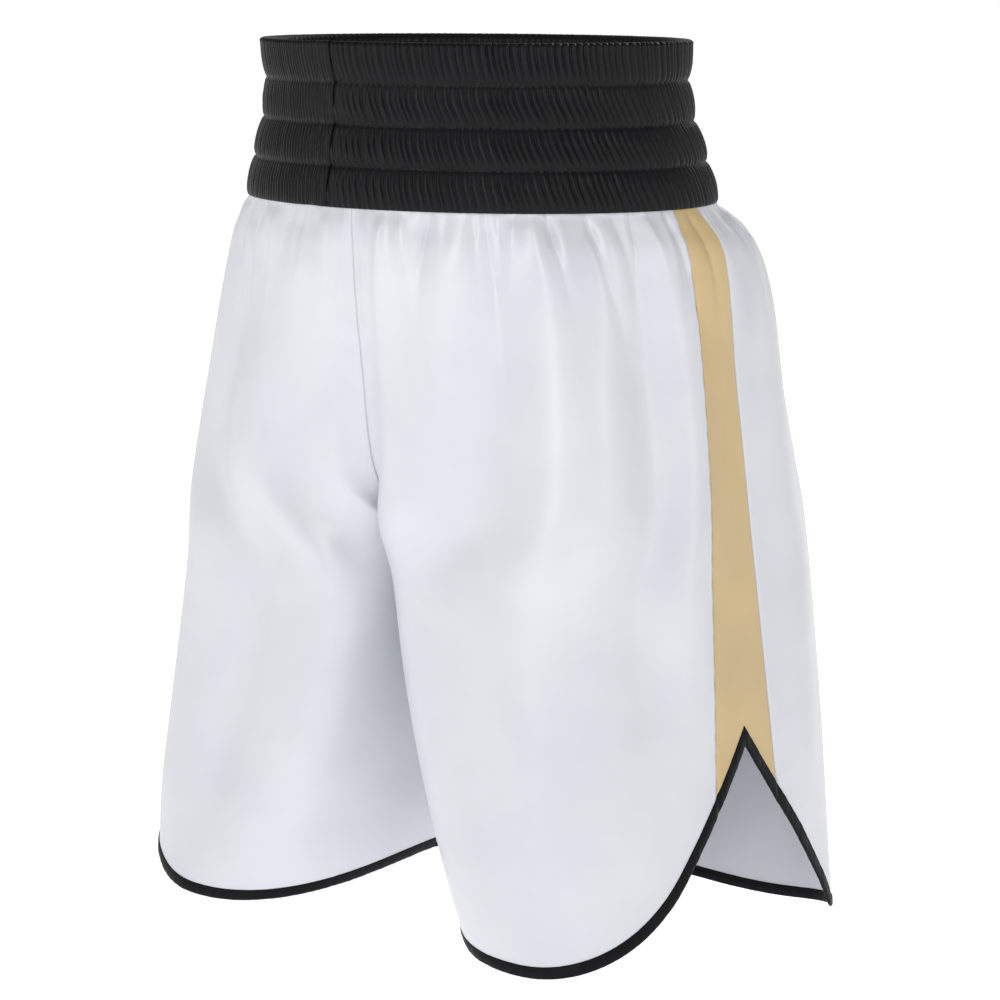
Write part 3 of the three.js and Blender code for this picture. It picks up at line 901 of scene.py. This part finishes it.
def make_panels(sizes, colours):
    gathers = Gathers(sizes)
    material = panel_satin(colours)
    for side, (half, word) in itertools.product(SIDES, HALVES):
        sign = -1 if half == FRONT else 1

        def along_at(share, down):
            from_stripe = stripe_half_width(down) * (1 - share) + seam_length(half, down) * share
            return sign * from_stripe

        foot = foot_of_columns(half, along_at, PANEL_COLUMNS)
        points, flat = cloth_grid(gathers, side == "left", foot, along_at)
        if half == FRONT:
            points, flat = points[:, ::-1], flat[:, ::-1]
        name = f"{side}_{word}"
        piece = thick_sheet(f"{name}_panel", points, flat, sizes.cloth, side == "left")
        dress(piece, material)
        hang_on_leg(piece)
        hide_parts(f"{name}_seat_panel", f"{name}_leg_panel")


def make_stripes(sizes, colours):
    gathers = Gathers(sizes)
    material = stripe_satin(colours)

    def along_at(share, down):
        return stripe_half_width(down) * (2 * share - 1)

    front_foot, back_foot = (foot_of_columns(half, along_at, STRIPE_COLUMNS) for half, _ in HALVES)
    foot = np.where(np.linspace(0, 1, STRIPE_COLUMNS) < 0.5, front_foot, back_foot)
    for side in SIDES:
        points, flat = cloth_grid(gathers, side == "left", foot, along_at)
        piece = thick_sheet(f"{side}_stripe", points, flat, sizes.cloth, side == "left")
        dress(piece, material)
        hang_on_leg(piece)
        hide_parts(f"{side}_seat_stripe", f"{side}_leg_stripe")


TAPE_STEP = 1.2
TAPE_RIPPLE = 0.12
STITCH_PITCH = 2.6
STITCH_PINCH = 0.18
STITCH_IN = 1.2  # how far the row of stitches lies from the tape's inner edge
STITCH_REACH = 0.6


def tape_section(width):
    """Section of the folded tape: distance in from the edge and height off the cloth's middle."""
    outer_half = [
        (width, 0.35), (width - 0.25, 0.75), (width - 0.7, 0.95), (width - STITCH_IN, 0.78),
        (width - 1.7, 1.0), (width * 0.45, 1.1), (width * 0.22, 1.05), (0.45, 0.8), (0.1, 0.4),
    ]
    return np.array(outer_half + [(into, -off) for into, off in reversed(outer_half)])


def resample(line, guide):
    """Points of line at the same shares of its length as guide's points."""
    own, wanted = (run / run[-1] for run in (run_along(line), run_along(guide)))
    return np.stack([np.interp(wanted, own, line[:, axis]) for axis in range(2)], axis=1)


def tape_frame(gathers, is_left, half, width):
    """The finished edge on the cloth, and the directions in from it and out of the cloth."""
    sign = -1 if half == FRONT else 1
    edge = lower_edge(half, 0, TAPE_STEP)
    inner_edge = resample(lower_edge(half, width, TAPE_STEP), edge)
    outer, inner = (
        cloth(gathers, is_left, sign * np.maximum(line[:, 0], 0.01), line[:, 1]) / MM
        for line in (edge, inner_edge)
    )
    inward = (inner - outer) / width
    normal = unit(np.cross(unit(np.gradient(outer, axis=0)), inward))
    outside = skin_normal(sign * np.maximum(edge[:, 0], 0.01), edge[:, 1])
    if not is_left:
        outside[:, 0] *= -1
    normal = normal * np.sign((normal * outside).sum(axis=1, keepdims=True))
    return outer, inward, normal


def make_bindings(sizes, colours):
    gathers = Gathers(sizes)
    material = binding_tape(colours)
    width = sizes.binding_width / MM
    section = tape_section(width)
    over = np.concatenate([[0], np.cumsum(np.hypot(*np.diff(section, axis=0).T))])
    draw = np.random.default_rng(sizes.seed + 2)
    for side, (half, word) in itertools.product(SIDES, HALVES):
        is_left = side == "left"
        outer, inward, normal = tape_frame(gathers, is_left, half, width)
        run = run_along(outer)
        ripple = waves(draw, 5, 40, 5)(run) * TAPE_RIPPLE
        stitch = STITCH_PINCH * np.cos(2 * np.pi * run / STITCH_PITCH)
        rows = []
        for into, off in section:
            pinch = stitch if abs(into - (width - STITCH_IN)) < STITCH_REACH else 0
            lift = off + np.sign(off) * (ripple + pinch) - sizes.cloth / MM / 2
            rows.append(outer + inward * into + normal * np.reshape(lift, (-1, 1)))
        points = np.stack(rows)
        flat = np.stack(np.broadcast_arrays(over[:, None], run[None, :]), axis=-1)
        faces = grid_faces(*points.shape[:2])
        if (half == FRONT) != is_left:
            faces = faces[:, ::-1]
        name = f"{side}_{word}_binding"
        piece = mesh_piece(
            f"{name}_tape", points.reshape(-1, 3) * MM, faces, flat.reshape(-1, 2) * MM
        )
        dress(piece, material)
        hang_on_leg(piece)
        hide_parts(name)


# ---------- Stage ----------

CAMERA_AZIMUTH = math.radians(38)  # from the wearer's front towards the left
CAMERA_DISTANCE = 1.81
CAMERA_HEIGHT = 0.045
CAMERA_AIM = (0.0, 0.0, -0.2786)
CAMERA_SHIFT = 0.028
SENSOR_WIDTH = 36
VIEW_WIDTH = 0.6  # what the camera sees at the object
FLOOR_DROP = 0.012  # below the hems, because the shorts hang as on a form
FLOOR_REACH = 200
FLOOR_GLOW = 0.78
LAMP_AIM = (0, 0, -0.28)
LAMPS = (  # name, place, power, width and height
    ("key", (0.4, -2.7, 0.9), 26, (0.4, 1.8)),
    ("strip", (2.7, 0.0, 0.8), 13, (0.3, 1.8)),
    ("fill", (-2.4, -1.2, 0.9), 2, (0.5, 1.8)),
    ("back", (-0.4, 2.6, 1.3), 12, (1.0, 1.4)),
)
SKY_FADE = {"From Min": 0.10, "From Max": 0.35, "To Min": 1.0, "To Max": 0.2}


def add_light(name, place, power, size):
    """A large soft lamp aimed at the middle of the shorts."""
    data = bpy.data.lights.new(name, "AREA")
    data.energy = power
    data.shape = "RECTANGLE"
    data.size, data.size_y = size
    lamp = bpy.data.objects.new(name, data)
    lamp.location = place
    lamp.rotation_euler = (Vector(LAMP_AIM) - Vector(place)).to_track_quat("-Z", "Y").to_euler()
    bpy.context.scene.collection.objects.link(lamp)


def add_camera():
    """A long lens at the wearer's front left, a little above the rim and shifted to one side."""
    data = bpy.data.cameras.new("camera")
    data.lens = SENSOR_WIDTH * CAMERA_DISTANCE / VIEW_WIDTH
    data.sensor_width = SENSOR_WIDTH
    data.shift_x = CAMERA_SHIFT
    camera = bpy.data.objects.new("camera", data)
    x = CAMERA_DISTANCE * math.sin(CAMERA_AZIMUTH)
    y = -CAMERA_DISTANCE * math.cos(CAMERA_AZIMUTH)
    camera.location = (x, y, CAMERA_HEIGHT)
    to_aim = Vector(CAMERA_AIM) - camera.location
    camera.rotation_euler = to_aim.to_track_quat("-Z", "Y").to_euler()
    bpy.context.scene.collection.objects.link(camera)
    bpy.context.scene.camera = camera


def make_floor():
    """A pale floor that runs to the horizon and glows a little, as a lit studio floor does."""
    low = CAD_BOUNDS[0].z - FLOOR_DROP
    mesh = bpy.data.meshes.new("floor")
    signs = ((-1, -1), (1, -1), (1, 1), (-1, 1))
    corners = [(x * FLOOR_REACH, y * FLOOR_REACH, low) for x, y in signs]
    mesh.from_pydata(corners, [], [(0, 1, 2, 3)])
    floor = bpy.data.objects.new("floor", mesh)
    bpy.context.scene.collection.objects.link(floor)
    finish = Finish("floor")
    noise = finish.node("ShaderNodeTexNoise", {"Scale": 6.0, "Detail": 2.0})
    tint = finish.node("ShaderNodeMix", data_type="RGBA")
    tint.inputs["A"].default_value = (0.92, 0.92, 0.92, 1)
    tint.inputs["B"].default_value = (0.94, 0.94, 0.94, 1)
    finish.link(noise.outputs["Fac"], tint.inputs["Factor"])
    finish.link(tint.outputs["Result"], finish.shader.inputs["Base Color"])
    finish.shine(roughness=0.9, emission_color=(1, 1, 1, 1), emission_strength=FLOOR_GLOW)
    mesh.materials.append(finish.material)


def make_stage():
    """A sky that is bright at the horizon and dim above, with the floor, camera and lamps."""
    scene = bpy.context.scene
    scene.view_settings.view_transform = "Standard"
    world = bpy.data.worlds.new("studio")
    world.use_nodes = True
    nodes, links = world.node_tree.nodes, world.node_tree.links
    place = nodes.new("ShaderNodeTexCoord")
    height = nodes.new("ShaderNodeSeparateXYZ")
    fade = nodes.new("ShaderNodeMapRange")
    for name, value in SKY_FADE.items():
        fade.inputs[name].default_value = value
    links.new(place.outputs["Generated"], height.inputs["Vector"])
    links.new(height.outputs["Z"], fade.inputs["Value"])
    links.new(fade.outputs["Result"], nodes["Background"].inputs["Strength"])
    nodes["Background"].inputs["Color"].default_value = (1.0, 1.0, 1.0, 1)
    scene.world = world
    make_floor()
    add_camera()
    for lamp in LAMPS:
        add_light(*lamp)


# ---------- Operators ----------

class SHORTS_OT_add_waistband(bpy.types.Operator):
    """Makes the shirred waistband and finishes its elastic rows"""

    bl_idname = "shorts.add_waistband"
    bl_label = "Waistband"

    def execute(self, context):
        make_waistband(context.scene.shorts_sizes, context.scene.shorts_colours)
        elastic = knitted_elastic()
        for name, node in frame["nodes"].items():
            if name.startswith("elastic_row"):
                node.data.materials.clear()
                node.data.materials.append(elastic)
        return {"FINISHED"}


class SHORTS_OT_add_label(bpy.types.Operator):
    """Makes the blank label inside the back of the band"""

    bl_idname = "shorts.add_label"
    bl_label = "Label"

    def execute(self, context):
        make_label()
        return {"FINISHED"}


class SHORTS_OT_add_panels(bpy.types.Operator):
    """Makes the four gathered panels"""

    bl_idname = "shorts.add_panels"
    bl_label = "Panels"

    def execute(self, context):
        make_panels(context.scene.shorts_sizes, context.scene.shorts_colours)
        return {"FINISHED"}


class SHORTS_OT_add_stripes(bpy.types.Operator):
    """Makes the two side stripes"""

    bl_idname = "shorts.add_stripes"
    bl_label = "Side stripes"

    def execute(self, context):
        make_stripes(context.scene.shorts_sizes, context.scene.shorts_colours)
        return {"FINISHED"}


class SHORTS_OT_add_bindings(bpy.types.Operator):
    """Makes the folded tape on the legs' lower edges"""

    bl_idname = "shorts.add_bindings"
    bl_label = "Bindings"

    def execute(self, context):
        make_bindings(context.scene.shorts_sizes, context.scene.shorts_colours)
        return {"FINISHED"}


class SHORTS_OT_add_stage(bpy.types.Operator):
    """Makes the floor, the lights and the camera"""

    bl_idname = "shorts.add_stage"
    bl_label = "Stage"

    def execute(self, context):
        make_stage()
        return {"FINISHED"}


OPERATORS = (
    SHORTS_OT_add_stage,
    SHORTS_OT_add_waistband,
    SHORTS_OT_add_label,
    SHORTS_OT_add_panels,
    SHORTS_OT_add_stripes,
    SHORTS_OT_add_bindings,
)


class SHORTS_PT_pieces(bpy.types.Panel):
    """Lists the shorts' sizes, colours and pieces"""

    bl_label = "Boxing Shorts"
    bl_space_type = "VIEW_3D"
    bl_region_type = "UI"
    bl_category = "Shorts"

    def draw(self, context):
        for group in (context.scene.shorts_sizes, context.scene.shorts_colours):
            box = self.layout.box()
            for name in group.bl_rna.properties.keys():
                if name not in ("rna_type", "name"):
                    box.prop(group, name)
        for operator in OPERATORS:
            self.layout.operator(operator.bl_idname)


CLASSES = (ShortsSizes, ShortsColours, *OPERATORS, SHORTS_PT_pieces)


def register():
    for item in CLASSES:
        bpy.utils.register_class(item)
    bpy.types.Scene.shorts_sizes = PointerProperty(type=ShortsSizes)
    bpy.types.Scene.shorts_colours = PointerProperty(type=ShortsColours)


def unregister():
    del bpy.types.Scene.shorts_colours
    del bpy.types.Scene.shorts_sizes
    for item in reversed(CLASSES):
        bpy.utils.unregister_class(item)


def main():
    register()
    bpy.ops.shorts.add_stage()
    bpy.ops.shorts.add_waistband()
    bpy.ops.shorts.add_label()
    bpy.ops.shorts.add_panels()
    bpy.ops.shorts.add_stripes()
    bpy.ops.shorts.add_bindings()


if __name__ == "__main__":
    main()
